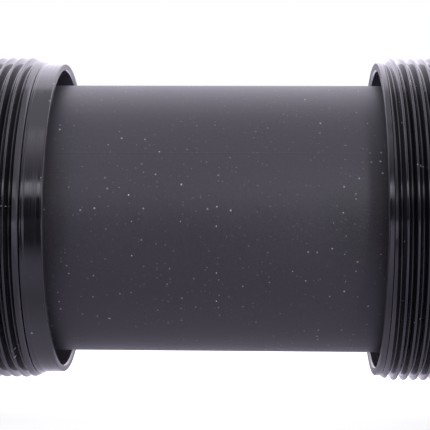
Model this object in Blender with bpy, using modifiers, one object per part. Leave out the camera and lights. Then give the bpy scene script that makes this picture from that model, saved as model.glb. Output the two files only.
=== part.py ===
"""Outboard-bearing bicycle bottom bracket: two threaded cups, each holding a ball bearing, on a centre sleeve.

The spindle's axis is X, the origin is the middle of the frame's shell, and +Z is up. The drive side is at -X.
On each side `out` is the distance from the middle of the shell along the axis, and `radius` the distance from
the axis, so one profile serves both cups. Units are metres.
"""

import math

import bmesh
import bpy
from mathutils import Matrix, Vector

MM = 0.001

# Frame shell that the cups screw into
SHELL_WIDTH = 68.0 * MM
SHELL_TRAVEL = 5.0 * MM  # the widest shell is this much wider

# Radial stack, from the spindle outwards
SPINDLE_DIAMETER = 24.0 * MM
SLEEVE_CLEARANCE = 1.1 * MM  # spindle to the sleeve's bore
SLEEVE_WALL = 1.42 * MM
SLEEVE_GAP = 1.58 * MM  # sleeve to the cup's bore
BARREL_WALL = 0.75 * MM  # cup's bore to the thread's root
THREAD_DEPTH = 0.55 * MM

# Thread, 24 turns to the inch
THREAD_PITCH = 25.4 / 24 * MM
CREST_FLAT = 0.28 * MM
THREAD_LEAD_IN = 2.33 * MM  # rim to the groove's centre, measured at the front (-Y)
CUTTER_OVERSHOOT = 0.12 * MM
RELIEF_MARGIN = 0.22 * MM
RELIEF_DEPTH = 0.15 * MM  # below the thread's root
RELIEF_BEVEL = 0.25 * MM

# Barrel, the threaded part that goes into the shell
BARREL_LENGTH = 17.2 * MM
PILOT_LENGTHS = {"drive": 1.9 * MM, "nondrive": 0.5 * MM}
PILOT_CHAMFER = 1.2 * MM
MOUTH_CHAMFER = 0.35 * MM

# Bearing
BALL_DIAMETER = 3.5 * MM
BALL_COUNT = 15
BALL_CLEARANCE = 0.1 * MM
RACE_WALL = 1.25 * MM  # behind the ball
RACE_SHOULDER = 1.25 * MM  # ball circle to each race's shoulder
CAGE_RIM = 0.5 * MM
CAGE_HEIGHT = 1.8 * MM
POCKET_CLEARANCE = 0.12 * MM
SEAL_THICKNESS = 0.7 * MM
SEAL_RECESS = 0.25 * MM
SEAL_GAP = 0.3 * MM  # cage to seal
SEAL_FIT = 0.05 * MM
SEAL_LIP_GAP = 0.1 * MM

# Cup's outboard end
SEAT_OFFSET = 2.8 * MM  # shell face to the bearing's shoulder
SEAT_FIT = 0.05 * MM
SHOULDER_HEIGHT = 2.95 * MM
SHOULDER_WEB = 1.6 * MM
HOUSING_WALL = 2.05 * MM
HOUSING_CHAMFER = 0.5 * MM
FACE_UNDERCUT_DEPTH = 0.3 * MM
FACE_UNDERCUT_MARGIN = 0.15 * MM  # beyond the thread's crests, so that a shell slides over them to the face
TOOL_RING_HEIGHT = 1.4 * MM
TOOL_RING_WIDTH = 6.5 * MM
TOOL_RING_CHAMFER = 0.9 * MM
NOTCH_COUNT = 16
NOTCH_RADIUS = 3.2 * MM
NOTCH_DEPTH = 1.25 * MM

# Dust cap, a flanged bush between the spindle and the bearing
CAP_SPINDLE_FIT = 0.02 * MM
CAP_WALL = 0.44 * MM
CAP_RACE_FIT = 0.04 * MM
CAP_TUBE_LENGTH = 6.2 * MM
CAP_BOSS_HEIGHT = 1.5 * MM
CAP_BOSS_GAP = 0.05 * MM
CAP_STANDOFF = 0.2 * MM
CAP_THICKNESS = 0.9 * MM
CAP_RIM_GAP = 0.3 * MM
CAP_CHAMFER = 0.3 * MM
CAP_RECESS = 0.1 * MM  # outer face to the housing's edge

# Sleeve ends and their O-rings
SLEEVE_END_GAP = 0.3 * MM
SLEEVE_RIB_WIDTH = 1.0 * MM
SLEEVE_RIB_GAP = 0.15 * MM
O_RING_FIT = 0.05 * MM
O_RING_SIDE_GAP = 0.15 * MM

# Facets
RING_SEGMENTS = 32
CAGE_SEGMENTS = 30
O_RING_SIDES = 6
NOTCH_SIDES = 16
POCKET_SIDES = 8
MERGE = 0.001 * MM
BOOLEAN_WELD = 0.005 * MM
SHARP_ANGLE = math.radians(30)
O_RING_SHARP_ANGLE = math.radians(90)

# Radii that follow from the stack
SPINDLE_R = SPINDLE_DIAMETER / 2
SLEEVE_BORE_R = SPINDLE_R + SLEEVE_CLEARANCE
SLEEVE_R = SLEEVE_BORE_R + SLEEVE_WALL
BARREL_BORE_R = SLEEVE_R + SLEEVE_GAP
ROOT_R = BARREL_BORE_R + BARREL_WALL
CREST_R = ROOT_R + THREAD_DEPTH
PILOT_R = ROOT_R - RELIEF_DEPTH
CAP_BORE_R = SPINDLE_R + CAP_SPINDLE_FIT
CAP_TUBE_R = CAP_BORE_R + CAP_WALL
BEARING_BORE_R = CAP_TUBE_R + CAP_RACE_FIT
BALL_R = BALL_DIAMETER / 2
BALL_CIRCLE_R = BEARING_BORE_R + RACE_WALL + BALL_R
BEARING_R = BALL_CIRCLE_R + BALL_R + RACE_WALL
INNER_SHOULDER_R = BALL_CIRCLE_R - RACE_SHOULDER
OUTER_SHOULDER_R = BALL_CIRCLE_R + RACE_SHOULDER
SEAT_R = BEARING_R + SEAT_FIT
HOUSING_R = SEAT_R + HOUSING_WALL
TOOL_RING_R = HOUSING_R + TOOL_RING_HEIGHT

# Distances from the middle of the shell that follow from the widths
FACE_OUT = SHELL_WIDTH / 2
RIM_OUT = FACE_OUT - BARREL_LENGTH
BEARING_WIDTH = BALL_DIAMETER + 2 * (CAGE_RIM + SEAL_GAP + SEAL_THICKNESS + SEAL_RECESS)
BEARING_IN = FACE_OUT + SEAT_OFFSET
BEARING_OUT = BEARING_IN + BEARING_WIDTH
BALL_OUT = (BEARING_IN + BEARING_OUT) / 2
WEB_OUT = BEARING_IN - SHOULDER_WEB
CAP_IN = BEARING_OUT + CAP_STANDOFF
CAP_OUT = CAP_IN + CAP_THICKNESS
HOUSING_OUT = CAP_OUT + CAP_RECESS
GROOVE_HALF_WIDTH = (THREAD_PITCH - CREST_FLAT) / 2
CUTTER_HALF_WIDTH = GROOVE_HALF_WIDTH * (1 + CUTTER_OVERSHOOT / THREAD_DEPTH)
RELIEF_WIDTH = 2 * (CUTTER_HALF_WIDTH + RELIEF_MARGIN)
O_RING_R = (SLEEVE_GAP - 2 * O_RING_FIT) / 2
O_RING_CIRCLE_R = SLEEVE_R + SLEEVE_GAP / 2
RIB_R = BARREL_BORE_R - SLEEVE_RIB_GAP
UNDERCUT_R = CREST_R + FACE_UNDERCUT_MARGIN

SIDES = {"drive": -1, "nondrive": 1}  # the sign of X


def clear_scene():
    for obj in list(bpy.data.objects):
        bpy.data.objects.remove(obj)


def new_collection(name):
    collection = bpy.data.collections.new(name)
    bpy.context.scene.collection.children.link(collection)
    return collection


def new_material(name, colour, roughness, metallic=0.0):
    material = bpy.data.materials.new(name)
    material.use_nodes = True
    shader = material.node_tree.nodes["Principled BSDF"]
    shader.inputs["Base Color"].default_value = (*colour, 1.0)
    shader.inputs["Roughness"].default_value = roughness
    shader.inputs["Metallic"].default_value = metallic
    return material


def add_object(name, mesh, collection, material=None):
    obj = bpy.data.objects.new(name, mesh)
    collection.objects.link(obj)
    if material:
        mesh.materials.append(material)
    return obj


def mark_as_cutter(obj):
    obj.hide_render = True
    obj.display_type = "WIRE"
    return obj


def mesh_from(bm, name):
    mesh = bpy.data.meshes.new(name)
    bm.to_mesh(mesh)
    bm.free()
    return mesh


def wound(points):
    """The closed outline of (x, radius) points in the order that turns into faces pointing out."""
    following = points[1:] + points[:1]
    area = sum(x0 * r1 - x1 * r0 for (x0, r0), (x1, r1) in zip(points, following))
    return points if area > 0 else points[::-1]


def turned(name, outline, sign, collection, material, segments=RING_SEGMENTS):
    """A ring turned about X from a closed outline of (out, radius) points."""
    points = wound([(sign * out, radius) for out, radius in outline])
    bm = bmesh.new()
    corners = [bm.verts.new((x, 0, radius)) for x, radius in points]
    for first, second in zip(corners, corners[1:] + corners[:1]):
        bm.edges.new((first, second))
    ring = add_object(name, mesh_from(bm, name), collection, material)
    screw = ring.modifiers.new("turn", "SCREW")
    screw.axis = "X"
    screw.angle = 2 * math.pi
    screw.steps = screw.render_steps = segments
    screw.use_merge_vertices = True
    screw.merge_threshold = MERGE
    screw.use_smooth_shade = False
    return ring


def cut(obj, cutter):
    boolean = obj.modifiers.new(cutter.name, "BOOLEAN")
    boolean.operation = "DIFFERENCE"
    boolean.solver = "EXACT"
    boolean.object = cutter
    weld = obj.modifiers.new(cutter.name + "_weld", "WELD")
    weld.merge_threshold = BOOLEAN_WELD


def shade_smooth(obj, sharp_angle=SHARP_ANGLE):
    """The object's evaluated mesh, smooth but for its real edges, in place of its modifiers."""
    graph = bpy.context.evaluated_depsgraph_get()
    mesh = bpy.data.meshes.new_from_object(obj.evaluated_get(graph))
    mesh.name = obj.name
    mesh.shade_smooth()
    mesh.set_sharp_from_angle(angle=sharp_angle)
    obj.modifiers.clear()
    obj.data = mesh


def arc(centre_out, centre_radius, radius, start, end, steps):
    """Points (out, radius) along an arc, with its angles in degrees from the +out direction."""
    angles = [math.radians(start + (end - start) * k / steps) for k in range(steps + 1)]
    return [(centre_out + radius * math.cos(a), centre_radius + radius * math.sin(a)) for a in angles]


def cup_outline(pilot_length):
    pilot_end = RIM_OUT + pilot_length
    relief_in = FACE_OUT - RELIEF_WIDTH
    ring_out = FACE_OUT + TOOL_RING_WIDTH
    return [
        (RIM_OUT + MOUTH_CHAMFER, BARREL_BORE_R),
        (RIM_OUT, BARREL_BORE_R + MOUTH_CHAMFER),
        (RIM_OUT, PILOT_R),
        (pilot_end, PILOT_R),
        (pilot_end + PILOT_CHAMFER, CREST_R),
        (relief_in - RELIEF_BEVEL, CREST_R),
        (relief_in, PILOT_R),
        (FACE_OUT + FACE_UNDERCUT_DEPTH, PILOT_R),
        (FACE_OUT + FACE_UNDERCUT_DEPTH, UNDERCUT_R),
        (FACE_OUT, UNDERCUT_R),
        (FACE_OUT, TOOL_RING_R - TOOL_RING_CHAMFER),
        (FACE_OUT + TOOL_RING_CHAMFER, TOOL_RING_R),
        (ring_out - TOOL_RING_CHAMFER, TOOL_RING_R),
        (ring_out, TOOL_RING_R - TOOL_RING_CHAMFER),
        (ring_out, HOUSING_R),
        (HOUSING_OUT - HOUSING_CHAMFER, HOUSING_R),
        (HOUSING_OUT, HOUSING_R - HOUSING_CHAMFER),
        (HOUSING_OUT, SEAT_R),
        (BEARING_IN, SEAT_R),
        (BEARING_IN, SEAT_R - SHOULDER_HEIGHT),
        (WEB_OUT, SEAT_R - SHOULDER_HEIGHT),
        (WEB_OUT, BARREL_BORE_R),
    ]


def notch_cutter(name, sign, collection):
    """Round-bottomed tool notches in the ring, with one straight below the axis so that the part stands on two lands."""
    length = 2 * (HOUSING_OUT - FACE_OUT)
    middle = sign * (FACE_OUT + TOOL_RING_WIDTH / 2)
    centre_r = TOOL_RING_R - NOTCH_DEPTH + NOTCH_RADIUS
    along_x = Matrix.Rotation(math.pi / 2, 4, "Y")
    shift = Matrix.Translation((middle, 0, -centre_r))
    bm = bmesh.new()
    for k in range(NOTCH_COUNT):
        turn = Matrix.Rotation(2 * math.pi * k / NOTCH_COUNT, 4, "X")
        bmesh.ops.create_cone(
            bm, cap_ends=True, segments=NOTCH_SIDES, depth=length,
            radius1=NOTCH_RADIUS, radius2=NOTCH_RADIUS, matrix=turn @ shift @ along_x,
        )
    return mark_as_cutter(add_object(name, mesh_from(bm, name), collection))


def thread_cutter(name, sign, collection):
    """A V-shaped bar along the groove: right-handed at +X and left-handed at -X, ending in the relief."""
    step_angle = 2 * math.pi / RING_SEGMENTS
    step_out = THREAD_PITCH / RING_SEGMENTS
    front_out = RIM_OUT + THREAD_LEAD_IN
    first = -math.floor((THREAD_LEAD_IN - CUTTER_HALF_WIDTH) / step_out)
    last = math.floor((FACE_OUT - RELIEF_WIDTH / 2 - front_out) / step_out)
    start_out = front_out + first * step_out
    bm = bmesh.new()
    corners = [
        bm.verts.new((sign * (start_out + offset), 0, radius))
        for offset, radius in (
            (-CUTTER_HALF_WIDTH, CREST_R + CUTTER_OVERSHOOT),
            (0, ROOT_R),
            (CUTTER_HALF_WIDTH, CREST_R + CUTTER_OVERSHOOT),
        )
    ]
    face = bm.faces.new(corners)
    # The profile is drawn above the axis: a quarter turn brings it to the front, and `first` steps to its start.
    front = Matrix.Rotation(math.pi / 2 + first * step_angle, 4, "X")
    bmesh.ops.transform(bm, matrix=front, verts=corners)
    bmesh.ops.spin(
        bm, geom=[face, *face.edges, *face.verts], cent=(0, 0, 0), axis=(1, 0, 0),
        dvec=(sign * step_out, 0, 0), angle=(last - first) * step_angle, steps=last - first,
    )
    bmesh.ops.recalc_face_normals(bm, faces=bm.faces)
    return mark_as_cutter(add_object(name, mesh_from(bm, name), collection))


def build_cup(side, parts, cutters, material):
    sign = SIDES[side]
    cup = turned(f"{side}_cup", cup_outline(PILOT_LENGTHS[side]), sign, parts, material)
    cut(cup, thread_cutter(f"{side}_thread_cutter", sign, cutters))
    cut(cup, notch_cutter(f"{side}_notch_cutter", sign, cutters))


def build_races(side, parts, material):
    """Both races, each with the ball's groove in it."""
    sign = SIDES[side]
    groove_r = BALL_R + BALL_CLEARANCE
    half_angle = math.degrees(math.acos(RACE_SHOULDER / groove_r))
    outer_groove = arc(BALL_OUT, BALL_CIRCLE_R, groove_r / math.cos(math.radians(half_angle / 4)),
                       90 - half_angle, 90 + half_angle, 4)
    inner_groove = [(out, 2 * BALL_CIRCLE_R - radius) for out, radius in reversed(outer_groove)]
    turned(
        f"{side}_outer_race",
        [(BEARING_IN, OUTER_SHOULDER_R), (BEARING_IN, BEARING_R), (BEARING_OUT, BEARING_R),
         (BEARING_OUT, OUTER_SHOULDER_R), *outer_groove],
        sign, parts, material,
    )
    turned(
        f"{side}_inner_race",
        [(BEARING_OUT, INNER_SHOULDER_R), (BEARING_OUT, BEARING_BORE_R), (BEARING_IN, BEARING_BORE_R),
         (BEARING_IN, INNER_SHOULDER_R), *inner_groove],
        sign, parts, material,
    )


def build_seals(side, parts, material):
    outer = OUTER_SHOULDER_R - SEAL_FIT
    inner = INNER_SHOULDER_R + SEAL_LIP_GAP
    starts = {
        "inboard": BEARING_IN + SEAL_RECESS,
        "outboard": BEARING_OUT - SEAL_RECESS - SEAL_THICKNESS,
    }
    for place, start in starts.items():
        end = start + SEAL_THICKNESS
        outline = [(start, inner), (start, outer), (end, outer), (end, inner)]
        turned(f"{side}_{place}_seal", outline, SIDES[side], parts, material)


def build_cage(side, parts, cutters, material):
    """A ring between the races with one radial pocket for each ball."""
    sign = SIDES[side]
    half = BALL_R + CAGE_RIM
    inner, outer = BALL_CIRCLE_R - CAGE_HEIGHT / 2, BALL_CIRCLE_R + CAGE_HEIGHT / 2
    outline = [(BALL_OUT - half, inner), (BALL_OUT - half, outer),
               (BALL_OUT + half, outer), (BALL_OUT + half, inner)]
    cage = turned(f"{side}_ball_cage", outline, sign, parts, material, CAGE_SEGMENTS)
    pocket_r = (BALL_R + POCKET_CLEARANCE) / math.cos(math.pi / POCKET_SIDES)
    half_side = Matrix.Rotation(math.pi / POCKET_SIDES, 4, "Z")
    outwards = Matrix.Translation((sign * BALL_OUT, 0, BALL_CIRCLE_R))
    bm = bmesh.new()
    for k in range(BALL_COUNT):
        turn = Matrix.Rotation(ball_angle(k), 4, "X")
        bmesh.ops.create_cone(
            bm, cap_ends=True, segments=POCKET_SIDES, depth=2 * CAGE_HEIGHT,
            radius1=pocket_r, radius2=pocket_r, matrix=turn @ outwards @ half_side,
        )
    name = f"{side}_pocket_cutter"
    cut(cage, mark_as_cutter(add_object(name, mesh_from(bm, name), cutters)))


def ball_angle(k):
    return 2 * math.pi * k / BALL_COUNT


def build_balls(side, parts, material):
    bm = bmesh.new()
    bmesh.ops.create_icosphere(bm, subdivisions=2, radius=BALL_R)
    mesh = mesh_from(bm, f"{side}_ball")
    mesh.materials.append(material)
    for k in range(BALL_COUNT):
        ball = add_object(f"{side}_ball_{k + 1:02d}", mesh, parts)
        seat = Vector((SIDES[side] * BALL_OUT, 0, BALL_CIRCLE_R))
        ball.location = Matrix.Rotation(ball_angle(k), 3, "X") @ seat
        ball.rotation_euler.x = ball_angle(k)


def build_dust_cap(side, parts, material):
    flange_r = SEAT_R - CAP_RIM_GAP
    boss_r = BEARING_BORE_R + CAP_BOSS_HEIGHT
    boss_in = BEARING_OUT + CAP_BOSS_GAP
    tube_in = boss_in - CAP_TUBE_LENGTH
    turned(
        f"{side}_dust_cap",
        [
            (tube_in, CAP_BORE_R),
            (tube_in, CAP_TUBE_R),
            (boss_in, CAP_TUBE_R),
            (boss_in, boss_r),
            (CAP_IN, boss_r),
            (CAP_IN, flange_r),
            (CAP_OUT - CAP_CHAMFER, flange_r),
            (CAP_OUT, flange_r - CAP_CHAMFER),
            (CAP_OUT, CAP_BORE_R),
        ],
        SIDES[side], parts, material,
    )


def sleeve_ends():
    """Where the sleeve ends: seated on the drive cup's web, and as near to the other one."""
    return {side: WEB_OUT - SLEEVE_END_GAP for side in SIDES}


def o_ring_out(side):
    return sleeve_ends()[side] - SLEEVE_RIB_WIDTH - O_RING_SIDE_GAP - O_RING_R


def sleeve_end_outline(side):
    """The outer side of one end, from its outermost rib inwards: rib, O-ring groove, rib."""
    end = sleeve_ends()[side]
    groove_out = end - SLEEVE_RIB_WIDTH
    groove_in = groove_out - 2 * (O_RING_R + O_RING_SIDE_GAP)
    return [
        (end, RIB_R), (groove_out, RIB_R), (groove_out, SLEEVE_R),
        (groove_in, SLEEVE_R), (groove_in, RIB_R),
        (groove_in - SLEEVE_RIB_WIDTH, RIB_R), (groove_in - SLEEVE_RIB_WIDTH, SLEEVE_R),
    ]


def build_sleeve(parts, material):
    ends = sleeve_ends()
    drive = [(-out, radius) for out, radius in sleeve_end_outline("drive")]
    nondrive = sleeve_end_outline("nondrive")[::-1]
    bore = [(ends["nondrive"], SLEEVE_BORE_R), (-ends["drive"], SLEEVE_BORE_R)]
    turned("centre_sleeve", drive + nondrive + bore, 1, parts, material)


def build_o_ring(side, parts, material):
    radius = O_RING_R
    section = arc(o_ring_out(side), O_RING_CIRCLE_R, radius, 90, 450, O_RING_SIDES)[:-1]
    turned(f"{side}_o_ring", section, SIDES[side], parts, material)


def main():
    clear_scene()
    parts = new_collection("bottom_bracket")
    cutters = new_collection("cutters")
    anodised = new_material("black_anodised_aluminium", (0.018, 0.018, 0.022), 0.22, 0.6)
    sleeve_plastic = new_material("matt_black_plastic", (0.045, 0.042, 0.052), 0.6)
    cap_plastic = new_material("dust_cap_plastic", (0.03, 0.03, 0.033), 0.45)
    steel = new_material("bearing_steel", (0.6, 0.6, 0.61), 0.2, 1.0)
    seal_rubber = new_material("seal_rubber", (0.02, 0.02, 0.02), 0.7)
    cage_plastic = new_material("cage_plastic", (0.55, 0.5, 0.4), 0.5)
    for side in SIDES:
        build_cup(side, parts, cutters, anodised)
        build_races(side, parts, steel)
        build_seals(side, parts, seal_rubber)
        build_cage(side, parts, cutters, cage_plastic)
        build_balls(side, parts, steel)
        build_dust_cap(side, parts, cap_plastic)
        build_o_ring(side, parts, seal_rubber)
    build_sleeve(parts, sleeve_plastic)
    for obj in parts.objects:
        shade_smooth(obj, O_RING_SHARP_ANGLE if obj.name.endswith("o_ring") else SHARP_ANGLE)


main()
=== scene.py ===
"""Outboard-bearing bicycle bottom bracket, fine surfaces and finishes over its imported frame.

The spindle's axis is X and the drive side is at -X. `out` is a distance from the middle of the shell along
the axis, `radius` a distance from the axis, and `turn` an angle about +X that is zero at +Y and passes +Z.
Lengths are metres.
"""

import math

import bmesh
import bpy
import numpy as np
from mathutils import Matrix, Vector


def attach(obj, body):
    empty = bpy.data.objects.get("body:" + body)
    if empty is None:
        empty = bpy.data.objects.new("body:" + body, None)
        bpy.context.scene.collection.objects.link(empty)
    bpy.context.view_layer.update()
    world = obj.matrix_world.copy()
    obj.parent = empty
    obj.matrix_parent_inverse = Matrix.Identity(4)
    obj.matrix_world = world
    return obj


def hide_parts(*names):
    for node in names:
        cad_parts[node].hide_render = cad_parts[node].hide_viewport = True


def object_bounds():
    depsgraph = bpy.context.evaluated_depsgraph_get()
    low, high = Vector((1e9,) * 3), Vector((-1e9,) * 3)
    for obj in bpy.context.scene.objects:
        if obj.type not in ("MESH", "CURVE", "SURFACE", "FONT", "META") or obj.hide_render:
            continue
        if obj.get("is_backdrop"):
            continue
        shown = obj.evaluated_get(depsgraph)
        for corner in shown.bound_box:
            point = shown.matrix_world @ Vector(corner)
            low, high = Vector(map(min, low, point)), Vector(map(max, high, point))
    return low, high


MM = 0.001
DRIVE, NONDRIVE = "drive", "nondrive"
SIGN = {DRIVE: -1.0, NONDRIVE: 1.0}
FULL_TURN = 2 * math.pi

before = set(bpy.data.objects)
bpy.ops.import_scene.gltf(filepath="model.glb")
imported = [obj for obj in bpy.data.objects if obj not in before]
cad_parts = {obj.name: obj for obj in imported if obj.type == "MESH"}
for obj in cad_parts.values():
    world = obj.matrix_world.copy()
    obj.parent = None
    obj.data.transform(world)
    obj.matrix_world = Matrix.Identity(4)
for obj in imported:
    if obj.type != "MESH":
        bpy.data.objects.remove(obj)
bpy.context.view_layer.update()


# ---------------------------------------------------------------- sizes

# Thread
PITCH = 25.4 / 24 * MM
CREST_R, ROOT_R, RELIEF_R = 17.49 * MM, 16.78 * MM, 16.64 * MM
CREST_FLAT, ROOT_FLAT = 0.18 * MM, 0.12 * MM
GROOVE_PHASE = {DRIVE: 2.28 * MM, NONDRIVE: 2.36 * MM}  # rim to a groove's middle, at the front
GROOVE_EASE = 0.2 * MM  # the grooves reach their depth this far past the collar
START_LINE, START_LINE_R = 19.12 * MM, 16.80 * MM
START_LINE_WIDTH, START_LINE_FLOOR = 0.15 * MM, 0.06 * MM
START_LINE_REACH = 0.2 * MM  # takes in the four points of the groove's floor that make the line

# Barrel
RIM_OUT, FACE_OUT = 16.8 * MM, 34.0 * MM
BORE_R = 16.1 * MM
MOUTH_CHAMFER_OUT, MOUTH_CHAMFER_HEIGHT, RIM_CHAMFER = 0.18 * MM, 0.15 * MM, 0.10 * MM
PILOT_R = {DRIVE: 16.88 * MM, NONDRIVE: 17.02 * MM}
PILOT_END = {DRIVE: 18.75 * MM, NONDRIVE: 17.46 * MM}
LEAD_IN = {DRIVE: 1.35 * MM, NONDRIVE: 0.8 * MM}  # length of the cone from collar to crests
TOOL_MARK_DEPTH = {DRIVE: 0.02 * MM, NONDRIVE: 0.08 * MM}
TOOL_MARK_WIDTH = 0.11 * MM
RELIEF_IN, RELIEF_RAMP = 32.6 * MM, 0.4 * MM
FACE_UNDERCUT, FACE_INNER_R = 0.3 * MM, 17.55 * MM

# Cup's outboard end
RING_OUT, RING_R, RING_CHAMFER = 40.5 * MM, 22.0 * MM, 0.9 * MM
NOTCH_COUNT, NOTCH_RADIUS, NOTCH_CENTRE_R, NOTCH_FILLET = 16, 3.2 * MM, 23.95 * MM, 0.12 * MM
NOTCH_CLEAR = 3 * MM  # beyond the ring, where no notch reaches
HOUSING_R, HOUSING_OUT, HOUSING_CHAMFER = 20.6 * MM, 45.0 * MM, 0.5 * MM
SEAT_R, SEAT_CHAMFER = 18.55 * MM, 0.2 * MM
SHOULDER_R, WEB_OUT = 15.6 * MM, 35.2 * MM

# Bearing
BEARING_IN, BEARING_OUT = 36.8 * MM, 43.8 * MM
BEARING_R, BEARING_BORE_R, BEARING_BEVEL = 18.5 * MM, 12.5 * MM, 0.3 * MM
OUTER_SHOULDER_R, INNER_SHOULDER_R = 16.75 * MM, 14.25 * MM
BALL_R, BALL_CIRCLE_R, BALL_COUNT, BALL_OUT = 1.75 * MM, 15.5 * MM, 15, 40.3 * MM
GROOVE_CLEARANCE = 0.1 * MM
SEAL_R, SEAL_LIP_R, SEAL_THICKNESS, SEAL_RECESS = 16.7 * MM, 14.37 * MM, 0.7 * MM, 0.25 * MM
SEAL_WAIST_R, SEAL_WAIST_REACH, SEAL_WAIST_DEPTH = 15.5 * MM, 0.3 * MM, 0.12 * MM
POCKET_CLEARANCE, FINGER_HEIGHT, CAGE_BACK = 0.15 * MM, 1.3 * MM, 2.25 * MM
CAGE_INNER_R, CAGE_OUTER_R = 14.62 * MM, 16.38 * MM
CAGE_BEVEL_HEIGHT, CAGE_BEVEL_OUT = 0.1 * MM, 0.15 * MM

# Dust cap
CAP_TUBE_IN, CAP_BOSS_IN, CAP_IN, CAP_OUT = 37.65 * MM, 43.85 * MM, 44.0 * MM, 44.9 * MM
CAP_BORE_R, CAP_TUBE_R, CAP_BOSS_R, CAP_R = 12.02 * MM, 12.46 * MM, 14.0 * MM, 18.25 * MM
CAP_CHAMFER, CAP_SINK = 0.3 * MM, 0.38 * MM
CAP_GROOVE_R, CAP_GROOVE_DEPTH = 14.0 * MM, 0.1 * MM

# Sleeve and its O-rings
SLEEVE_R, SLEEVE_BORE_R, SLEEVE_END = 14.52 * MM, 13.1 * MM, 34.9 * MM
RIB_R, RIB_WIDTH, O_RING_GROOVE = 15.95 * MM, 1.0 * MM, 1.78 * MM
O_RING_R, O_RING_CIRCLE_R, O_RING_OUT = 0.74 * MM, 15.31 * MM, 33.01 * MM
PARTING_TURN, PARTING_HEIGHT, PARTING_WIDTH = math.radians(180 - 26.8), 0.012 * MM, 0.05 * MM

# Meshes
WELD = 2e-7
SHARP = 0.0001 * MM  # the rounding of a corner that has none
MOST_OF_EDGE = 0.42  # the most of an edge that one rounding takes
GUARD = 0.35  # a guard point's distance past its rounding, as a share of the rounding
RING_COLUMNS, CAP_COLUMNS, SLEEVE_COLUMNS = 160, 192, 240
COLUMNS_A_BALL, O_RING_SIDES = 24, 20
BALL_ROWS, BALL_COLUMNS = 19, 32


# ---------------------------------------------------------------- surfaces

def angles(columns):
    """Evenly spaced turns, open at the seam."""
    return np.arange(columns) * FULL_TURN / columns


def tool_ring_angles():
    """Turns crowded towards both edges of each notch, from degrees off a notch's middle."""
    half = np.radians([0, 1.7, 3.3, 4.6, 5.4, 5.9, 6.3, 6.7, 7.2, 8.2, 9.6, 11.25])
    pitch = FULL_TURN / NOTCH_COUNT
    period = np.concatenate([half[:-1], pitch - half[:0:-1]])
    return (np.arange(NOTCH_COUNT)[:, None] * pitch + period).ravel()


def rounded(corners, closed=True, steps=2):
    """A profile of (out, radius, rounding) corners as points.

    Each corner is a quadratic arc that starts and ends one rounding away along its edges, with a guard point
    a share further on, so that the flat beyond shades flat.
    """
    rows = np.array(corners, float)
    points, reach = rows[:, :2], rows[:, 2:]
    before = np.roll(points, 1, axis=0) - points
    after = np.roll(points, -1, axis=0) - points
    length_before = np.linalg.norm(before, axis=1, keepdims=True)
    length_after = np.linalg.norm(after, axis=1, keepdims=True)
    reach = np.minimum(reach, MOST_OF_EDGE * np.minimum(length_before, length_after))
    start = points + before / length_before * reach
    end = points + after / length_after * reach
    s = np.linspace(0, 1, steps + 1)[None, :, None]
    arc = (1 - s) ** 2 * start[:, None] + 2 * s * (1 - s) * points[:, None] + s ** 2 * end[:, None]
    first = start + before / length_before * reach * GUARD
    last = end + after / length_after * reach * GUARD
    whole = np.concatenate([first[:, None], arc, last[:, None]], axis=1)
    if not closed:
        whole[0, :-1], whole[-1, 1:] = points[0], points[-1]
    return whole.reshape(-1, 2)


def weigh_normals(mesh):
    """Each vertex's normal is its faces' mean by area, so that flats stay flat up to their roundings."""
    corner_of = np.empty(len(mesh.loops), np.int32)
    mesh.loops.foreach_get("vertex_index", corner_of)
    sides = np.empty(len(mesh.polygons), np.int32)
    mesh.polygons.foreach_get("loop_total", sides)
    normals = np.empty(len(mesh.polygons) * 3)
    mesh.polygons.foreach_get("normal", normals)
    area = np.empty(len(mesh.polygons))
    mesh.polygons.foreach_get("area", area)
    weighted = np.repeat(normals.reshape(-1, 3) * area[:, None], sides, axis=0)
    total = np.stack([np.bincount(corner_of, weighted[:, k], len(mesh.vertices)) for k in range(3)], axis=-1)
    total /= np.maximum(np.linalg.norm(total, axis=1, keepdims=True), 1e-30)
    mesh.normals_split_custom_set_from_vertices(total)


def surface(name, grid, finish, body, replaced, close_rows=True, close_columns=True):
    """A closed skin from a (rows, columns, 3) grid of points.

    Each cell is a face, rows and columns join up at their ends, coincident points become one, and a negative
    volume turns every face round.
    """
    rows, columns = grid.shape[:2]
    index = np.arange(rows * columns).reshape(rows, columns)
    lower = index if close_rows else index[:-1]
    upper = np.roll(index, -1, axis=0) if close_rows else index[1:]
    if close_columns:
        quads = np.stack([lower, np.roll(lower, -1, 1), np.roll(upper, -1, 1), upper], axis=-1)
    else:
        quads = np.stack([lower[:, :-1], lower[:, 1:], upper[:, 1:], upper[:, :-1]], axis=-1)
    quads = quads.reshape(-1, 4)
    points = grid.reshape(-1, 3)
    a, b, c, d = (points[quads[:, k]] for k in range(4))
    if (np.einsum("ij,ij->i", a, np.cross(b, c)) + np.einsum("ij,ij->i", a, np.cross(c, d))).sum() < 0:
        quads = quads[:, ::-1]
    mesh = bpy.data.meshes.new(name)
    mesh.from_pydata(points, [], quads)
    bm = bmesh.new()
    bm.from_mesh(mesh)
    bmesh.ops.remove_doubles(bm, verts=bm.verts, dist=WELD)
    bm.to_mesh(mesh)
    bm.free()
    mesh.shade_smooth()
    weigh_normals(mesh)
    mesh.materials.append(finish)
    piece = bpy.data.objects.new(name, mesh)
    bpy.context.scene.collection.objects.link(piece)
    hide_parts(*replaced)
    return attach(piece, body)


def ring_grid(out, radius, turn, sign):
    """Points at (sign * out, radius cos turn, radius sin turn).

    There is one out and one radius a row, or one of each a cell.
    """
    out, radius = np.broadcast_arrays(out, radius)
    if out.ndim == 1:
        out, radius = out[:, None], radius[:, None]
    out = np.broadcast_to(out, (out.shape[0], len(turn)))
    radius = np.broadcast_to(radius, out.shape)
    return np.stack([sign * out, radius * np.cos(turn), radius * np.sin(turn)], axis=-1)


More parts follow.
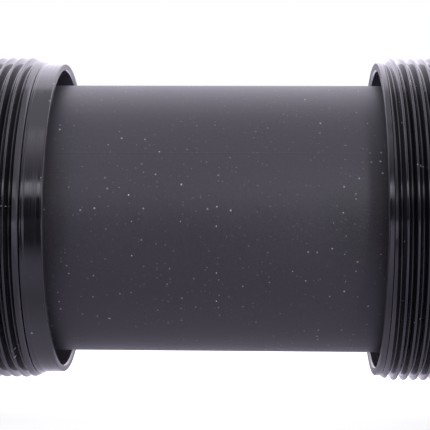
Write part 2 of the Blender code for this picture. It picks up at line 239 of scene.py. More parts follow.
def turned(name, corners, sign, columns, finish, body, replaced):
    """A ring: the rounded profile carried round the axis."""
    profile = rounded(corners)
    grid = ring_grid(profile[:, 0], profile[:, 1], angles(columns), sign)
    return surface(name, grid, finish, body, replaced)


def soft_least(first, second, blend):
    """The lesser of two heights, with the crease between them filleted.

    It is their mean less half the root of their difference squared plus the blend squared.
    """
    return 0.5 * (first + second - np.sqrt((first - second) ** 2 + blend ** 2))


# ---------------------------------------------------------------- finishes

class Value:
    """A socket in an expression: each operator on it adds its Math node."""

    def __init__(self, finish, socket):
        self.finish, self.socket = finish, socket

    def math(self, operation, *others):
        return self.finish.node("Math", {"operation": operation}, dict(enumerate([self, *others])))

    def most(self, other):
        return self.math("MAXIMUM", other)

    def __add__(self, other):
        return self.math("ADD", other)

    __radd__ = __add__

    def __sub__(self, other):
        return self.math("SUBTRACT", other)

    def __mul__(self, other):
        return self.math("MULTIPLY", other)

    def __truediv__(self, other):
        return self.math("DIVIDE", other)

    def __neg__(self):
        return self.math("MULTIPLY", -1.0)


class Finish:
    """A node tree with one way to add a node: its kind, its settings, then its sockets' values or links."""

    def __init__(self, tree):
        self.tree = tree
        tree.nodes.clear()

    def node(self, kind, settings=None, inputs=None, output=0):
        made = self.tree.nodes.new("ShaderNode" + kind)
        for key, value in (settings or {}).items():
            setattr(made, key, value)
        for key, value in (inputs or {}).items():
            if isinstance(value, Value):
                self.tree.links.new(value.socket, made.inputs[key])
            else:
                made.inputs[key].default_value = value
        return Value(self, made.outputs[output])

    def place(self, scale=(1, 1, 1), offset=(0, 0, 0)):
        """The piece's own coordinates in metres, scaled along each axis."""
        own = self.node("TexCoord", output="Object")
        inputs = {"Vector": own, "Scale": scale, "Location": offset}
        return self.node("Mapping", {"vector_type": "POINT"}, inputs)

    def xyz(self, vector):
        """The vector's three coordinates."""
        return [self.node("SeparateXYZ", {}, {"Vector": vector}, output=axis) for axis in "XYZ"]

    def noise(self, scale, detail=2.0, roughness=0.5, at=(1, 1, 1), offset=(0, 0, 0)):
        inputs = {"Vector": self.place(at, offset), "Scale": scale, "Detail": detail, "Roughness": roughness}
        return self.node("TexNoise", {}, inputs)

    def ramp(self, value, stops):
        """The colour at value between stops, each a place from 0 to 1 and its colour."""
        found = self.node("ValToRGB", {}, {"Fac": value})
        elements = found.socket.node.color_ramp.elements
        while len(elements) < len(stops):
            elements.new(0.5)
        for element, (place, colour) in zip(elements, stops):
            element.position = place
            element.color = (*colour, 1.0)
        return found

    def span(self, value, low, high, to_low=0.0, to_high=1.0):
        """value from low to high as a smooth step from to_low to to_high."""
        inputs = {"Value": value, "From Min": low, "From Max": high, "To Min": to_low, "To Max": to_high}
        return self.node("MapRange", {"interpolation_type": "SMOOTHSTEP"}, inputs)

    def mix(self, share, first, second):
        return self.node("Mix", {"data_type": "RGBA"}, {0: share, 6: first, 7: second}, output=2)

    def from_axis(self):
        """Distance from the spindle's axis."""
        _, y, z = self.xyz(self.place())
        return (y * y + z * z).math("SQRT")

    def wrapped(self, radius, stray):
        """Places on a turned skin laid flat, each a little astray.

        They run along the skin and up its steps, and round it at this radius, with a seam at the back.
        """
        x, y, z = self.xyz(self.place())
        along = x + self.from_axis()
        round_it = z.math("ARCTAN2", -y) * radius
        wobble = self.noise(2600, 2.0, 0.7, offset=(4, 4, 4)) - 0.5
        return self.node("CombineXYZ", {}, {
            "X": along + wobble * stray, "Y": round_it - wobble * (stray * 1.3), "Z": 0.0,
        })

    def specks(self, flat, scale, size, keep):
        """Small spots on the laid-flat skin, each with its own size and brightness.

        Each lies at a cell's point, in the share of cells whose random value passes keep.
        """
        kind = {"voronoi_dimensions": "2D"}
        spot = self.node("TexVoronoi", kind, {"Vector": flat, "Scale": scale}, output="Distance")
        chance = self.node("TexVoronoi", kind, {"Vector": flat, "Scale": scale}, output="Color")
        pick, shade, girth = (self.node("SeparateColor", {}, {"Color": chance}, output=k) for k in range(3))
        picked = self.node("Math", {"operation": "GREATER_THAN"}, {0: pick, 1: keep})
        edge = girth * (size * 0.7) + size * 0.3
        return self.span(spot / edge, 0.5, 1.0, 1.0, 0.0) * picked * (shade * 0.65 + 0.35)

    def bump(self, height, distance):
        return self.node("Bump", {}, {"Height": height, "Distance": distance, "Strength": 1.0})


def new_finish(name, shader, build):
    """A material: uniform values go straight on the shader's sockets, and build returns what varies."""
    material = bpy.data.materials.new(name)
    material.use_nodes = True
    finish = Finish(material.node_tree)
    varied = build(finish)
    lit = finish.node("BsdfPrincipled", {}, {**shader, **varied})
    out = material.node_tree.nodes.new("ShaderNodeOutputMaterial")
    material.node_tree.links.new(lit.socket, out.inputs["Surface"])
    return material


def anodised(finish):
    """Black dyed aluminium: turning lines of uneven sheen, mottled dye, dust, and a paler bore that is
    painted light.
    """
    lines = finish.noise(1.0, 3.0, 0.7, at=(7000, 40, 40))
    broad = finish.noise(1.0, 2.0, 0.5, at=(2200, 30, 30), offset=(3, 1, 2))
    mottle = finish.noise(260, 3.0, 0.6)
    flat = finish.wrapped(17.0 * MM, 0.06 * MM)
    dust = finish.specks(flat, 620, 0.085, 0.90)
    lint = finish.specks(flat, 1700, 0.14, 0.93)
    wear = finish.span(finish.noise(420, 4.0, 0.65, offset=(5, 2, 7)), 0.62, 0.8)
    # Painted light: the bore is painted pale grey so that the inside of the mouth looks lit.
    bore = finish.span(finish.from_axis(), BORE_R + 0.04 * MM, BORE_R + 0.01 * MM)
    x, _, _ = finish.xyz(finish.place())
    rim = finish.span(x * x, (RIM_OUT + 0.05 * MM) ** 2, (RIM_OUT + 0.01 * MM) ** 2)
    dyed = finish.mix(mottle, (0.0030, 0.0028, 0.0038, 1), (0.0058, 0.0054, 0.0072, 1))
    # the mottled dye, with the painted light of the bore
    dye = finish.mix(bore, dyed, (0.17, 0.165, 0.185, 1))
    linted = finish.mix(lint * 0.10, dye, (0.35, 0.33, 0.37, 1))
    dusty = finish.mix(dust * 0.8, linted, (0.50, 0.49, 0.50, 1))
    turning = 0.055 + finish.span(lines, 0.35, 0.72) * 0.19 + finish.span(broad, 0.4, 0.7) * 0.07
    rough = turning + wear * 0.04 + dust * 0.4 + rim * 0.35
    height = lines * 0.9 + broad * 0.9 + dust * 4.0
    return {"Base Color": dusty, "Roughness": rough, "Normal": finish.bump(height, 0.003 * MM)}


def moulded_sleeve(finish):
    """Matt black moulded plastic: spark-eroded grain, soft clouding, lint and small white specks.

    It is darker near each cup at mid-height, most of all on the low side by the non-drive cup: painted shade
    of the cups.
    """
    grain = finish.noise(7000, 2.0, 0.6)
    coarse = finish.noise(1900, 2.0, 0.5, offset=(1, 4, 2))
    cloud = finish.noise(130, 3.0, 0.6)
    scuff = finish.span(finish.noise(1.0, 3.0, 0.6, at=(240, 900, 900), offset=(7, 1, 3)), 0.58, 0.78)
    flat = finish.wrapped(SLEEVE_R, 0.11 * MM)
    clump = finish.span(finish.noise(110, 3.0, 0.6, offset=(6, 2, 9)), 0.42, 0.56)
    lint = finish.specks(flat, 2300, 0.22, 0.86)
    specks = finish.specks(flat, 800, 0.105, 0.66) * clump
    flecks = finish.specks(flat, 340, 0.031, 0.93)
    x, _, z = finish.xyz(finish.place())
    # Painted shade: the plastic goes near black at mid-height next to each cup, and most next to the
    # non-drive cup.
    shade_band = finish.span(z, 9 * MM, 3 * MM) * finish.span(z, -9 * MM, -3 * MM)
    ends = finish.span(x * x, (13.6 * MM) ** 2, (16.4 * MM) ** 2) * shade_band * 0.75
    right_cup_shade = finish.span(x, 8 * MM, 15 * MM) * finish.span(z, 5 * MM, 0.5 * MM)
    right_cup_shade = right_cup_shade * finish.span(z, -7.5 * MM, -2 * MM) * 0.85
    clouded = finish.mix(cloud, (0.0125, 0.0117, 0.0148, 1), (0.0175, 0.0163, 0.0208, 1))
    # the clouded plastic with the painted shade of the cups mixed in
    base = finish.mix(ends.most(right_cup_shade), clouded, (0.002, 0.002, 0.002, 1))
    worn = finish.span(grain, 0.35, 0.7) * 0.35 + scuff * 0.12
    grained = finish.mix(worn, base, (0.034, 0.032, 0.039, 1))
    linted = finish.mix(lint * 0.20, grained, (0.30, 0.29, 0.33, 1))
    specked = finish.mix(specks * 0.52, linted, (0.52, 0.51, 0.54, 1))
    flecked = finish.mix(flecks * 0.75, specked, (0.80, 0.79, 0.80, 1))
    rough = 0.40 + grain * 0.12 + cloud * 0.06
    height = grain * 0.7 + coarse * 0.6 + lint * 0.4 + specks * 1.2 + flecks * 2.0
    return {"Base Color": flecked, "Roughness": rough, "Normal": finish.bump(height, 0.012 * MM)}


def cap_plastic(finish):
    """Satin black injection-moulded nylon with faint flow marks and dust."""
    flow = finish.noise(170, 4.0, 0.6)
    grain = finish.noise(6000, 2.0, 0.5)
    dusted = finish.span(finish.noise(2400), 0.70, 0.76)
    base = finish.mix(flow, (0.014, 0.0135, 0.016, 1), (0.024, 0.0235, 0.027, 1))
    return {
        "Base Color": finish.mix(dusted * 0.35, base, (0.4, 0.4, 0.42, 1)),
        "Roughness": 0.36 + flow * 0.12 + grain * 0.06,
        "Normal": finish.bump(grain * 0.6 + flow, 0.006 * MM),
    }


def bearing_steel(finish):
    """Ground chrome steel: fine grinding lines round the axis and a trace of oil."""
    lines = finish.noise(1.0, 3.0, 0.6, at=(14000, 80, 80))
    oil = finish.noise(300, 3.0, 0.6)
    return {
        "Base Color": finish.mix(oil, (0.56, 0.55, 0.54, 1), (0.66, 0.66, 0.67, 1)),
        "Roughness": 0.14 + lines * 0.14 + oil * 0.05,
        "Normal": finish.bump(lines, 0.0012 * MM),
    }


def ball_steel(finish):
    """Polished balls with a thin smear of grease."""
    grease = finish.noise(700, 3.0, 0.6)
    return {
        "Base Color": finish.mix(grease, (0.60, 0.59, 0.56, 1), (0.70, 0.70, 0.71, 1)),
        "Roughness": 0.05 + grease * 0.12,
        "Normal": finish.bump(grease, 0.001 * MM),
    }


def seal_rubber(finish):
    """Black nitrile: matt, softly clouded, with a fine texture."""
    cloud = finish.noise(240, 3.0, 0.6)
    grain = finish.noise(5200, 2.0, 0.6)
    return {
        "Base Color": finish.mix(cloud, (0.010, 0.010, 0.011, 1), (0.022, 0.022, 0.023, 1)),
        "Roughness": 0.6 + grain * 0.2,
        "Normal": finish.bump(grain, 0.008 * MM),
    }


def cage_nylon(finish):
    """Cream nylon, slightly clouded with grease."""
    cloud = finish.noise(380, 3.0, 0.6)
    return {
        "Base Color": finish.mix(cloud, (0.48, 0.42, 0.30, 1), (0.60, 0.55, 0.44, 1)),
        "Roughness": 0.38 + cloud * 0.2,
        "Normal": finish.bump(cloud, 0.01 * MM),
    }


def table_top(finish):
    """Pale matt table, lit from within so that it stays white under the piece."""
    fibre = finish.noise(900, 3.0, 0.6)
    return {
        "Base Color": finish.mix(fibre, (0.40, 0.40, 0.40, 1), (0.42, 0.42, 0.42, 1)),
        "Roughness": 0.8 + fibre * 0.1,
    }


def bounce_paper(finish):
    """Grey paper that lights the piece from below: paler behind, with a dark patch ahead."""
    x, y, _ = finish.xyz(finish.place())
    ahead = -y - 0.05
    sides = finish.span(x - ahead * 0.06, 0.024, 0.0) * finish.span(x + ahead * 0.2, -0.075, -0.05)
    patch = finish.span(y, -0.026, -0.082) * sides
    sheet = finish.mix(finish.span(y, -0.024, -0.010), (0.52, 0.50, 0.565, 1), (0.93, 0.90, 0.99, 1))
    return {"Base Color": finish.mix(patch, sheet, (0.015, 0.015, 0.018, 1))}


TABLE = new_finish("pale_table", {"Emission Color": (1, 1, 1, 1), "Emission Strength": 0.80}, table_top)
PAPER = new_finish("bounce_paper", {"Roughness": 1.0}, bounce_paper)
CUP = new_finish("black_anodised_aluminium", {"Metallic": 0.0, "IOR": 1.6}, anodised)
SLEEVE = new_finish("grained_black_sleeve", {"IOR": 1.5}, moulded_sleeve)
CAP = new_finish("satin_cap_nylon", {"IOR": 1.5}, cap_plastic)
RACE = new_finish("ground_bearing_steel", {"Metallic": 1.0}, bearing_steel)
BALL = new_finish("polished_ball_steel", {"Metallic": 1.0}, ball_steel)
RUBBER = new_finish("black_seal_rubber", {"IOR": 1.5}, seal_rubber)
CAGE = new_finish("cream_cage_nylon", {"IOR": 1.5}, cage_nylon)


# ---------------------------------------------------------------- pieces

def thread_rows(side, turn):
    """The helical thread between the collar and the relief, as (out, radius) for each row and turn.

    Its profile repeats once a pitch and moves out by a pitch a turn. The radius is that of the cones that it
    starts from and runs out into, less the depth of the groove below them, which eases in from nothing past
    the collar. On the drive side the first groove is only a narrow line.
    """
    flank = (PITCH - CREST_FLAT - ROOT_FLAT) / 2
    slope = (CREST_R - ROOT_R) / flank
    crest, root = CREST_FLAT / 2, PITCH / 2 - ROOT_FLAT / 2
    half_place, half_height = np.array([
        (root + 0.02 * MM, ROOT_R),
        (root - 0.03 * MM, ROOT_R + 0.027 * MM * slope),
        (crest + 0.04 * MM, CREST_R - 0.04 * MM * slope),
        (crest + 0.01 * MM, CREST_R - 0.018 * MM),
        (crest - 0.035 * MM, CREST_R),
    ]).T
    place = np.concatenate([-half_place, half_place[::-1]])
    height = np.concatenate([half_height, half_height[::-1]])
    start, end = PILOT_END[side], RELIEF_IN + RELIEF_RAMP
    front = RIM_OUT + GROOVE_PHASE[side] - PITCH / 2  # a crest's middle where turn is half a circle
    first = math.floor((start - front) / PITCH) - 2
    last = math.ceil((end - front) / PITCH) + 1
    crests = np.arange(first, last) * PITCH
    unrolled = (front + crests[:, None] + place).ravel()
    form = np.tile(height, len(crests))
    if side == DRIVE:
        from_line = np.abs(unrolled - START_LINE)
        line = np.flatnonzero(from_line < START_LINE_REACH)
        form[from_line < PITCH / 2] = CREST_R
        form[line[1:3]] = START_LINE_R
        widths = np.array([-START_LINE_WIDTH, -START_LINE_FLOOR, START_LINE_FLOOR, START_LINE_WIDTH])
        unrolled[line] = START_LINE + widths / 2
    along = unrolled[:, None] + PITCH * (turn - math.pi) / FULL_TURN
    out = np.clip(along, start, end)
    cone_ends = [start, start + LEAD_IN[side], RELIEF_IN, end]
    cone = np.interp(out, cone_ends, [PILOT_R[side], CREST_R, CREST_R, RELIEF_R])
    ease = np.clip((out - start) / GROOVE_EASE, 0, 1)
    return out, cone - np.maximum(cone - form[:, None], 0) * ease


def tool_ring_radius(radius, turn):
    """The ring's radius with the notches cut.

    A notch's floor lies where a ray from the axis meets its circle, d cos a less the root of r squared less
    (d sin a) squared, and the crease at its edge is filleted.
    """
    pitch = FULL_TURN / NOTCH_COUNT
    a = (turn + pitch / 2) % pitch - pitch / 2
    across = NOTCH_CENTRE_R * np.sin(a)
    inside = NOTCH_RADIUS ** 2 - across ** 2
    bottom = NOTCH_CENTRE_R * np.cos(a) - np.sqrt(np.maximum(inside, 0))
    bottom = np.where(inside > 0, bottom, RING_R + NOTCH_CLEAR)
    return soft_least(radius[:, None], bottom[None, :], NOTCH_FILLET)


def pilot_corners(side):
    """The bore, the mouth, the rim and the collar, up to the mark that the tool left at its end."""
    collar, end = PILOT_R[side], PILOT_END[side]
    return [
        (WEB_OUT, BORE_R, SHARP),
        (RIM_OUT + MOUTH_CHAMFER_OUT, BORE_R, 0.06 * MM),
        (RIM_OUT, BORE_R + MOUTH_CHAMFER_HEIGHT, 0.05 * MM),
        (RIM_OUT, collar - RIM_CHAMFER, 0.04 * MM),
        (RIM_OUT + RIM_CHAMFER, collar, 0.05 * MM),
        (end - TOOL_MARK_WIDTH, collar, 0.015 * MM),
        (end - TOOL_MARK_WIDTH / 2, collar - TOOL_MARK_DEPTH[side], 0.01 * MM),
        (end, collar, SHARP),
    ]


RING_CORNERS = [
    (RELIEF_IN + RELIEF_RAMP, RELIEF_R, SHARP),
    (FACE_OUT + FACE_UNDERCUT, RELIEF_R, 0.1 * MM),
    (FACE_OUT + FACE_UNDERCUT, FACE_INNER_R, 0.1 * MM),
    (FACE_OUT, FACE_INNER_R, 0.05 * MM),
    (FACE_OUT, RING_R - RING_CHAMFER, 0.25 * MM),
    (FACE_OUT + RING_CHAMFER, RING_R, 0.3 * MM),
    (RING_OUT - RING_CHAMFER, RING_R, 0.3 * MM),
    (RING_OUT, RING_R - RING_CHAMFER, 0.25 * MM),
    (RING_OUT, HOUSING_R, 0.15 * MM),
]
HOUSING_CORNERS = [
    (RING_OUT + 0.02 * MM, HOUSING_R, SHARP),
    (HOUSING_OUT - HOUSING_CHAMFER, HOUSING_R, 0.2 * MM),
    (HOUSING_OUT, HOUSING_R - HOUSING_CHAMFER, 0.2 * MM),
    (HOUSING_OUT, SEAT_R + SEAT_CHAMFER, 0.05 * MM),
    (HOUSING_OUT - SEAT_CHAMFER, SEAT_R, 0.05 * MM),
    (BEARING_IN, SEAT_R, 0.1 * MM),
    (BEARING_IN, SHOULDER_R, 0.15 * MM),
    (WEB_OUT, SHOULDER_R, 0.15 * MM),
    (WEB_OUT, BORE_R, SHARP),
]


def cup(side):
    """Bore, mouth, rim and pilot; the thread; then relief, notched ring, housing, bearing seat and web."""
    turn = np.append(tool_ring_angles(), FULL_TURN)
    pilot, ring, housing = (
        rounded(corners, closed=False)
        for corners in (pilot_corners(side), RING_CORNERS, HOUSING_CORNERS)
    )
    thread_out, thread_radius = thread_rows(side, turn)
    cell = np.ones_like(turn)
    out = np.concatenate([pilot[:, :1] * cell, thread_out, ring[:, :1] * cell, housing[:, :1] * cell])
    notched = tool_ring_radius(ring[:, 1], turn)
    radius = np.concatenate([pilot[:, 1:] * cell, thread_radius, notched, housing[:, 1:] * cell])
    grid = ring_grid(out, radius, turn, SIGN[side])
    surface(f"{side}_threaded_cup", grid, CUP, f"{side}_unit", [f"{side}_cup"],
            close_columns=False)


def sleeve():
    """A moulded tube: a rib, an O-ring groove and a rib at each end, and low parting ridges on two sides."""
    groove_out = SLEEVE_END - RIB_WIDTH
    groove_in = groove_out - O_RING_GROOVE
    rib_in = groove_in - RIB_WIDTH
    half = [
        (SLEEVE_END, SLEEVE_BORE_R, 0.15 * MM),
        (SLEEVE_END, RIB_R, 0.15 * MM),
        (groove_out, RIB_R, 0.15 * MM),
        (groove_out, SLEEVE_R, 0.1 * MM),
        (groove_in, SLEEVE_R, 0.1 * MM),
        (groove_in, RIB_R, 0.15 * MM),
        (rib_in, RIB_R, 0.15 * MM),
        (rib_in, SLEEVE_R, 0.2 * MM),
    ]
    corners = half + [(-out, radius, rounding) for out, radius, rounding in half[::-1]]
    profile = rounded(corners, steps=3)
    crowd = PARTING_TURN + np.linspace(-1, 1, 13) ** 3 * math.radians(4)
    turn = np.concatenate([angles(SLEEVE_COLUMNS), crowd, crowd + math.pi]) % FULL_TURN
    turn = np.unique(np.round(turn, 9))
    near = np.abs((turn - PARTING_TURN + math.pi / 2) % math.pi - math.pi / 2) * SLEEVE_R
    ridge = PARTING_HEIGHT * np.exp(-(near / PARTING_WIDTH) ** 2)
    outer = (profile[:, 1] > SLEEVE_R - 0.05 * MM)[:, None]
    radius = profile[:, 1:] + ridge * outer
    grid = ring_grid(profile[:, :1] * np.ones_like(turn), radius, turn, 1.0)
    surface("moulded_sleeve", grid, SLEEVE, "drive_unit", ["centre_sleeve"])


def groove_corners(towards, shoulder_r):
    """Points of a race's ball groove, an arc about the ball's centre between its two shoulders.

    towards is 1 for the outer race and -1 for the inner.
    """
    depth = BALL_R + GROOVE_CLEARANCE
    reach = math.acos((shoulder_r - BALL_CIRCLE_R) / depth * towards)
    return [
        (BALL_OUT + depth * math.sin(a), BALL_CIRCLE_R + towards * depth * math.cos(a), 0.03 * MM)
        for a in np.linspace(-reach, reach, 9)
    ]


def races(side):
    outer = [
        (BEARING_IN, OUTER_SHOULDER_R, 0.1 * MM),
        (BEARING_IN, BEARING_R, BEARING_BEVEL),
        (BEARING_OUT, BEARING_R, BEARING_BEVEL),
        (BEARING_OUT, OUTER_SHOULDER_R, 0.1 * MM),
        *groove_corners(1, OUTER_SHOULDER_R)[::-1],
    ]
    inner = [
        (BEARING_OUT, INNER_SHOULDER_R, 0.1 * MM),
        (BEARING_OUT, BEARING_BORE_R, BEARING_BEVEL),
        (BEARING_IN, BEARING_BORE_R, BEARING_BEVEL),
        (BEARING_IN, INNER_SHOULDER_R, 0.1 * MM),
        *groove_corners(-1, INNER_SHOULDER_R),
    ]
    turned(f"{side}_outer_ring", outer, SIGN[side], RING_COLUMNS, RACE, f"{side}_unit",
           [f"{side}_outer_race"])
    turned(f"{side}_inner_ring", inner, SIGN[side], RING_COLUMNS, RACE, f"{side}_spinner",
           [f"{side}_inner_race"])


def seals(side):
    """Each seal is thinner at its waist, halfway between its lip and its rim."""
    starts = {"inboard": BEARING_IN + SEAL_RECESS, "outboard": BEARING_OUT - SEAL_RECESS - SEAL_THICKNESS}
    below, above = SEAL_WAIST_R - SEAL_WAIST_REACH, SEAL_WAIST_R + SEAL_WAIST_REACH
    for place, start in starts.items():
        end = start + SEAL_THICKNESS
        corners = [
            (start, SEAL_LIP_R, 0.1 * MM),
            (start, below, 0.15 * MM),
            (start + SEAL_WAIST_DEPTH, SEAL_WAIST_R, 0.1 * MM),
            (start, above, 0.1 * MM),
            (start, SEAL_R, 0.12 * MM),
            (end, SEAL_R, 0.12 * MM),
            (end, above, 0.1 * MM),
            (end - SEAL_WAIST_DEPTH, SEAL_WAIST_R, 0.1 * MM),
            (end, below, 0.15 * MM),
            (end, SEAL_LIP_R, 0.1 * MM),
        ]
        turned(f"{side}_{place}_lip_seal", corners, SIGN[side], RING_COLUMNS, RUBBER, f"{side}_unit",
               [f"{side}_{place}_seal"])


def dust_cover(side):
    """A bush in the inner race, a boss against it, and a flange with a fine groove in its face."""
    step = CAP_GROOVE_DEPTH
    corners = [
        (CAP_TUBE_IN, CAP_BORE_R, 0.08 * MM),
        (CAP_TUBE_IN, CAP_TUBE_R, 0.1 * MM),
        (CAP_BOSS_IN, CAP_TUBE_R, 0.05 * MM),
        (CAP_BOSS_IN, CAP_BOSS_R, 0.05 * MM),
        (CAP_IN, CAP_BOSS_R, 0.05 * MM),
        (CAP_IN, CAP_R, 0.08 * MM),
        (CAP_OUT - CAP_CHAMFER, CAP_R, 0.15 * MM),
        (CAP_OUT, CAP_R - CAP_CHAMFER, 0.15 * MM),
        (CAP_OUT, CAP_GROOVE_R + 2 * step, 0.1 * MM),
        (CAP_OUT - step, CAP_GROOVE_R + step, 0.1 * MM),
        (CAP_OUT - step, CAP_GROOVE_R - step, 0.1 * MM),
        (CAP_OUT, CAP_GROOVE_R - 2 * step, 0.1 * MM),
        (CAP_OUT, CAP_BORE_R + CAP_SINK, 0.15 * MM),
        (CAP_OUT - CAP_CHAMFER, CAP_BORE_R, 0.1 * MM),
    ]
    turned(f"{side}_dust_cover", corners, SIGN[side], CAP_COLUMNS, CAP, f"{side}_spinner",
           [f"{side}_dust_cap"])


def sealing_ring(side):
    around = angles(O_RING_SIDES)
    out = O_RING_OUT + O_RING_R * np.cos(around)
    radius = O_RING_CIRCLE_R + O_RING_R * np.sin(around)
    grid = ring_grid(out, radius, angles(RING_COLUMNS), SIGN[side])
    surface(f"{side}_sealing_ring", grid, RUBBER, "drive_unit", [f"{side}_o_ring"])


def ball_retainer(side):
    """A crown cage, a ring between the races.

    Its outboard edge dips round each ball, to the pocket circle's height below the ball's centre, and stands
    up in a finger between two balls.
    """
    turn = angles(BALL_COUNT * COLUMNS_A_BALL)
    pitch = FULL_TURN / BALL_COUNT
    a = (turn - math.pi / 2 + pitch / 2) % pitch - pitch / 2
    pocket = BALL_R + POCKET_CLEARANCE
    across = BALL_CIRCLE_R * a
    dip = -np.sqrt(np.maximum(pocket ** 2 - across ** 2, 0))
    edge = BALL_OUT + np.where(np.abs(across) < pocket, dip, FINGER_HEIGHT)
    back = np.full_like(turn, BALL_OUT - CAGE_BACK)
    bevel = back + CAGE_BEVEL_OUT
    out = np.stack([back, back, bevel, edge, edge, bevel])
    radius = np.array([
        CAGE_INNER_R + CAGE_BEVEL_HEIGHT, CAGE_OUTER_R - CAGE_BEVEL_HEIGHT,
        CAGE_OUTER_R, CAGE_OUTER_R, CAGE_INNER_R, CAGE_INNER_R,
    ])
    grid = ring_grid(out, radius[:, None], turn, SIGN[side])
    surface(f"{side}_ball_retainer", grid, CAGE, f"{side}_ball_set", [f"{side}_ball_cage"])


def balls(side):
    """Spheres at (r sin p cos t, r sin p sin t, r cos p), each about its own place on the ball circle."""
    polar = np.linspace(0, math.pi, BALL_ROWS)[:, None]
    turn = angles(BALL_COLUMNS)[None, :]
    east, north = np.sin(polar) * np.cos(turn), np.sin(polar) * np.sin(turn)
    unit = np.stack([east, north, np.broadcast_to(np.cos(polar), east.shape)], axis=-1)
    for k in range(BALL_COUNT):
        a = math.pi / 2 + FULL_TURN * k / BALL_COUNT
        centre = np.array([SIGN[side] * BALL_OUT, BALL_CIRCLE_R * math.cos(a), BALL_CIRCLE_R * math.sin(a)])
        surface(f"{side}_bearing_ball_{k + 1:02d}", centre + BALL_R * unit, BALL, f"{side}_ball_set",
                [f"{side}_ball_{k + 1:02d}"], close_rows=False)


for side in SIGN:
    cup(side)
    races(side)
    seals(side)
    dust_cover(side)
    sealing_ring(side)
    ball_retainer(side)
    balls(side)
sleeve()


# ---------------------------------------------------------------- studio

SHEET_REACH = 2.0
TABLE_DROP, PAPER_DROP = 0.02 * MM, 0.2 * MM

TINT = (1.0, 0.955, 1.11)
# Brightness round the axis, as degrees from the front over the top to the back, ahead and to each side.
BEHIND = [(78, 1.25), (96, 1.1), (105, 1.15), (111, 2.3), (128, 2.6), (160, 1.95), (180, 1.5)]
AHEAD = [
    (-180, 1.4), (-90, 0.5), (-22, 0.03), (2, 0.03), (8, 0.10), (14.5, 0.03), (17.5, 2.0), (24, 3.3),
    (26, 0.4), (36, 0.6), (42, 0.8), (50, 1.3), (57, 1.65), (63, 1.9), (69, 1.25), *BEHIND,
]
RIGHT = [
    (-180, 1.4), (-90, 0.9), (-30, 0.7), (13, 0.7), (17, 1.8), (25, 1.7), (29, 0.95), (60, 1.25), *BEHIND,
]
LEFT = [
    (-180, 1.4), (-90, 0.9), (-30, 0.35), (13, 0.35), (17, 0.9), (25, 0.8), (29, 0.4), (60, 1.0), *BEHIND,
]

LAMP_COLOUR, LAMP_DISTANCE = (1.0, 0.96, 1.08), 0.45
LENS, SENSOR_WIDTH = 107.08, 36.0  # millimetres
CAMERA_PLACE = (0.00415, -0.14075, 0.0003)
YAW, TILT, ROLL = 0.0333, 0.00045, -0.0049


def ground(name, drop, finish):
    """A flat sheet, just under the piece's lowest points."""
    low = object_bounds()[0].z - drop
    reach = np.array([-SHEET_REACH, SHEET_REACH])
    x, y = np.meshgrid(reach, reach)
    mesh = bpy.data.meshes.new(name)
    mesh.from_pydata(np.stack([x, y, 0 * x + low], axis=-1).reshape(-1, 3), [], [(0, 1, 3, 2)])
    mesh.materials.append(finish)
    sheet = bpy.data.objects.new(name, mesh)
    bpy.context.scene.collection.objects.link(sheet)
    sheet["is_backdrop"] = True
    return sheet


def floor():
    """The table that is seen, and under it the paper that lights the piece and shows in its reflections."""
    table = ground("table", TABLE_DROP, TABLE)
    table.visible_diffuse = False
    table.visible_glossy = False
    table.visible_shadow = False
    paper = ground("bounce_paper", PAPER_DROP, PAPER)
    paper.visible_camera = False


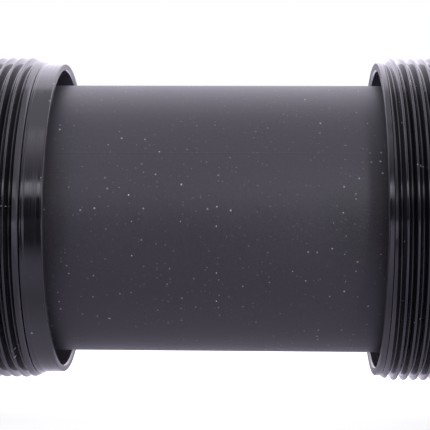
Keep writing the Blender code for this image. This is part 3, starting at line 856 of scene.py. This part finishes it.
def studio_light():
    """A soft tent: bright above and behind, a narrow strip ahead over a dark gap, a paler panel each side.

    Ahead and to the right, from 25 to 75 degrees up, it is dimmed.
    """
    world = bpy.data.worlds.new("tent")
    world.use_nodes = True
    finish = Finish(world.node_tree)
    x, y, z = finish.xyz(finish.node("TexCoord", output="Generated"))
    round_axis = z.math("ARCTAN2", -y) / FULL_TURN + 0.5
    most = max(level for _, level in RIGHT + AHEAD)

    def panel(levels):
        stops = [((degrees + 180) / 360, [level / most * t for t in TINT]) for degrees, level in levels]
        return finish.ramp(round_axis, stops)

    dimmed = finish.span(x, -0.06, 0.06) * finish.span(round_axis, 0.57, 0.59)
    dimmed = dimmed * finish.span(round_axis, 0.71, 0.69)
    glow = finish.mix(dimmed * 0.42, panel(AHEAD), (0.0, 0.0, 0.0, 1))
    glow = finish.mix(finish.span(x, 0.20, 0.40), glow, panel(RIGHT))
    glow = finish.mix(finish.span(x, -0.30, -0.50), glow, panel(LEFT))
    seen = finish.node("LightPath", output="Is Camera Ray")
    colour = finish.mix(seen, glow, (1 / most, 1 / most, 1 / most, 1))
    light = finish.node("Background", {}, {"Color": colour, "Strength": most})
    out = world.node_tree.nodes.new("ShaderNodeOutputWorld")
    world.node_tree.links.new(light.socket, out.inputs["Surface"])
    bpy.context.scene.world = world


def side_light(name, lit, azimuth, elevation, size, power):
    """A square soft light on the piece from azimuth degrees right of the front, which reaches only lit."""
    a, e = math.radians(azimuth), math.radians(elevation)
    towards = np.array([math.sin(a) * math.cos(e), -math.cos(a) * math.cos(e), math.sin(e)])
    data = bpy.data.lights.new(name, "AREA")
    data.size, data.energy, data.color = size, power, LAMP_COLOUR
    lamp = bpy.data.objects.new(name, data)
    lamp.location = towards * LAMP_DISTANCE
    lamp.rotation_euler = lamp.location.to_track_quat("Z", "Y").to_euler()
    lamp.visible_camera = False
    lamp.light_linking.receiver_collection = lit
    bpy.context.scene.collection.objects.link(lamp)


def side_lights():
    lit = bpy.data.collections.new("lit_by_softboxes")
    for name in ("moulded_sleeve", "bounce_paper"):
        lit.objects.link(bpy.data.objects[name])
    side_light("right_softbox", lit, azimuth=38, elevation=20, size=0.08, power=1.0)
    side_light("left_softbox", lit, azimuth=-50, elevation=18, size=0.28, power=0.5)


def camera():
    """Almost level with the axis, and turned a little towards the drive side."""
    data = bpy.data.cameras.new("camera")
    data.lens, data.sensor_width = LENS, SENSOR_WIDTH
    data.clip_start, data.clip_end = 0.01, 10.0
    made = bpy.data.objects.new("camera", data)
    bpy.context.scene.collection.objects.link(made)
    turn = Matrix.Rotation(YAW, 4, "Z") @ Matrix.Rotation(TILT, 4, "X") @ Matrix.Rotation(ROLL, 4, "Y")
    facing_front = Matrix.Rotation(math.pi / 2, 4, "X")
    made.matrix_world = Matrix.Translation(CAMERA_PLACE) @ turn @ facing_front
    bpy.context.scene.camera = made


floor()
studio_light()
side_lights()
camera()
bpy.context.scene.view_settings.view_transform = "Standard"
bpy.context.scene.view_settings.look = "None"
